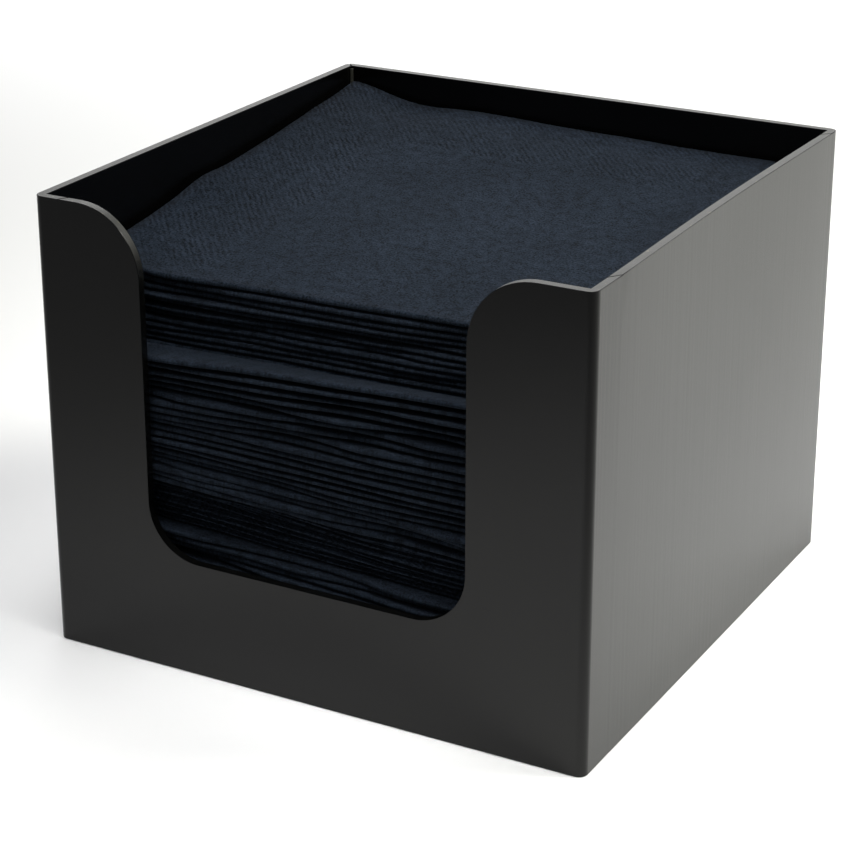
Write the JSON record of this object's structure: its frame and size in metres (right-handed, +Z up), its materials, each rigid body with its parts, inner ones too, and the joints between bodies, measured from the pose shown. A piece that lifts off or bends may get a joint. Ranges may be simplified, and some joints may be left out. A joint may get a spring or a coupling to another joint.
{
  "type": "napkin dispenser",
  "caption": "Square open-topped box of black satin sheet with a U-shaped cut-out in the front, holding a pile of dark quarter-folded paper napkins that lift out one by one.",
  "frame": {"origin": "centre of the underside, on the surface that the box stands on", "axes": "+Z up, -Y towards the front with the cut-out, +X to the right as seen from the front"},
  "size_m": [0.19, 0.19, 0.151],
  "materials": {
    "sheet": "satin",
    "cement": "matte",
    "napkin": "matte"
  },
  "bodies": {
    "box": {"front_panel": "sheet", "right_panel": "sheet", "back_panel": "sheet", "left_panel": "sheet", "base_panel": "sheet", "corner_bead": "cement"},
    "pile_bottom": {"napkin_bundle": "napkin"},
    "pile_lower": {"napkin_29": "napkin", "napkin_30": "napkin", "napkin_31": "napkin", "napkin_32": "napkin", "napkin_33": "napkin", "napkin_34": "napkin", "napkin_35": "napkin", "napkin_36": "napkin", "napkin_37": "napkin", "napkin_38": "napkin", "napkin_39": "napkin", "napkin_40": "napkin", "napkin_41": "napkin", "napkin_42": "napkin"},
    "pile_middle": {"napkin_13": "napkin", "napkin_14": "napkin", "napkin_15": "napkin", "napkin_16": "napkin", "napkin_17": "napkin", "napkin_18": "napkin", "napkin_19": "napkin", "napkin_20": "napkin", "napkin_21": "napkin", "napkin_22": "napkin", "napkin_23": "napkin", "napkin_24": "napkin", "napkin_25": "napkin", "napkin_26": "napkin", "napkin_27": "napkin", "napkin_28": "napkin"},
    "napkin_01": {"napkin_01": "napkin"},
    "napkin_02": {"napkin_02": "napkin"},
    "napkin_03": {"napkin_03": "napkin"},
    "napkin_04": {"napkin_04": "napkin"},
    "napkin_05": {"napkin_05": "napkin"},
    "napkin_06": {"napkin_06": "napkin"},
    "napkin_07": {"napkin_07": "napkin"},
    "napkin_08": {"napkin_08": "napkin"},
    "napkin_09": {"napkin_09": "napkin"},
    "napkin_10": {"napkin_10": "napkin"},
    "napkin_11": {"napkin_11": "napkin"},
    "napkin_12": {"napkin_12": "napkin"}
  },
  "joints": [
    {"name": "pile_bottom_lift", "type": "slide", "parent": "box", "child": "pile_bottom", "axis": [0, 0, 1], "range_m": [0, 0.15]},
    {"name": "pile_lower_lift", "type": "slide", "parent": "pile_bottom", "child": "pile_lower", "axis": [0, 0, 1], "range_m": [0, 0.116]},
    {"name": "pile_middle_lift", "type": "slide", "parent": "pile_lower", "child": "pile_middle", "axis": [0, 0, 1], "range_m": [0, 0.088]},
    {"name": "napkin_12_lift", "type": "slide", "parent": "pile_middle", "child": "napkin_12", "axis": [0, 0, 1], "range_m": [0, 0.0531]},
    {"name": "napkin_11_lift", "type": "slide", "parent": "napkin_12", "child": "napkin_11", "axis": [0, 0, 1], "range_m": [0, 0.051]},
    {"name": "napkin_10_lift", "type": "slide", "parent": "napkin_11", "child": "napkin_10", "axis": [0, 0, 1], "range_m": [0, 0.0489]},
    {"name": "napkin_09_lift", "type": "slide", "parent": "napkin_10", "child": "napkin_09", "axis": [0, 0, 1], "range_m": [0, 0.0468]},
    {"name": "napkin_08_lift", "type": "slide", "parent": "napkin_09", "child": "napkin_08", "axis": [0, 0, 1], "range_m": [0, 0.0447]},
    {"name": "napkin_07_lift", "type": "slide", "parent": "napkin_08", "child": "napkin_07", "axis": [0, 0, 1], "range_m": [0, 0.0426]},
    {"name": "napkin_06_lift", "type": "slide", "parent": "napkin_07", "child": "napkin_06", "axis": [0, 0, 1], "range_m": [0, 0.0405]},
    {"name": "napkin_05_lift", "type": "slide", "parent": "napkin_06", "child": "napkin_05", "axis": [0, 0, 1], "range_m": [0, 0.0384]},
    {"name": "napkin_04_lift", "type": "slide", "parent": "napkin_05", "child": "napkin_04", "axis": [0, 0, 1], "range_m": [0, 0.0363]},
    {"name": "napkin_03_lift", "type": "slide", "parent": "napkin_04", "child": "napkin_03", "axis": [0, 0, 1], "range_m": [0, 0.0342]},
    {"name": "napkin_02_lift", "type": "slide", "parent": "napkin_03", "child": "napkin_02", "axis": [0, 0, 1], "range_m": [0, 0.0321]},
    {"name": "napkin_01_lift", "type": "slide", "parent": "napkin_02", "child": "napkin_01", "axis": [0, 0, 1], "range_m": [0, 0.03]}
  ]
}
